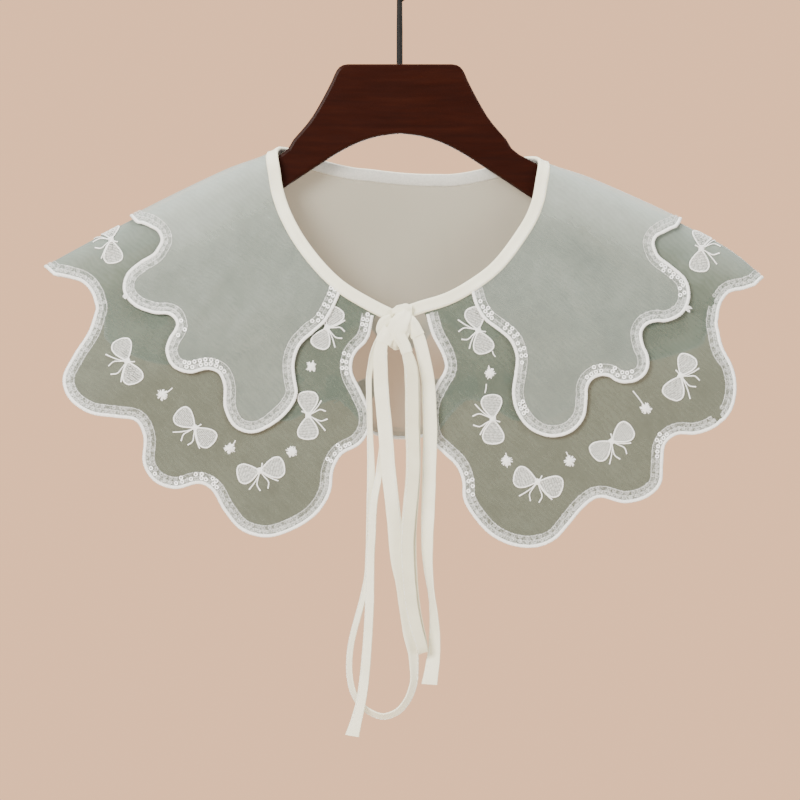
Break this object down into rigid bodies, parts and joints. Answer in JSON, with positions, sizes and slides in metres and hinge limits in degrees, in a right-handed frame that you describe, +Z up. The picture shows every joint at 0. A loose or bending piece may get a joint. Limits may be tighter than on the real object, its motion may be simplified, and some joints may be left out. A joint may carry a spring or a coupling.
{
  "type": "lace collar on a wooden hanger",
  "caption": "Two-tier white organza collar with scalloped, stitched hems, embroidered bows and long tie ribbons, hung flat on a dark wooden hanger with a wire hook.",
  "frame": {"origin": "inner top of the hanger's hook, where a rail carries it", "axes": "+Z up; the collar's front faces -Y; +X to the right of a viewer who faces the front"},
  "size_m": [0.4262, 0.0736, 0.4853],
  "materials": {
    "organza": "sheer, softly shining woven cloth",
    "white_tape": "matte woven tape",
    "white_thread": "satin-stitch embroidery",
    "dark_wood": "dark red-brown varnish",
    "black_wire": "gloss black"
  },
  "bodies": {
    "root": {"lower_tier": "organza", "upper_tier": "organza", "neck_binding": "white_tape", "bow_front_01": "white_thread", "bow_front_02": "white_thread", "bow_front_03": "white_thread", "bow_front_04": "white_thread", "bow_front_05": "white_thread", "bow_front_06": "white_thread", "bow_front_07": "white_thread", "bow_front_08": "white_thread", "bow_front_09": "white_thread", "bow_front_10": "white_thread", "bow_front_11": "white_thread", "bow_front_12": "white_thread", "bow_back_01": "white_thread", "bow_back_02": "white_thread", "bow_back_03": "white_thread", "bow_back_04": "white_thread", "bow_back_05": "white_thread", "bow_back_06": "white_thread", "tie_knot": "white_tape", "tie_loop_left": "white_tape", "tie_loop_right": "white_tape", "tie_tail_left": "white_tape", "tie_tail_right": "white_tape", "hanger_body": "dark_wood", "hanger_hook": "black_wire"}
  },
  "joints": []
}
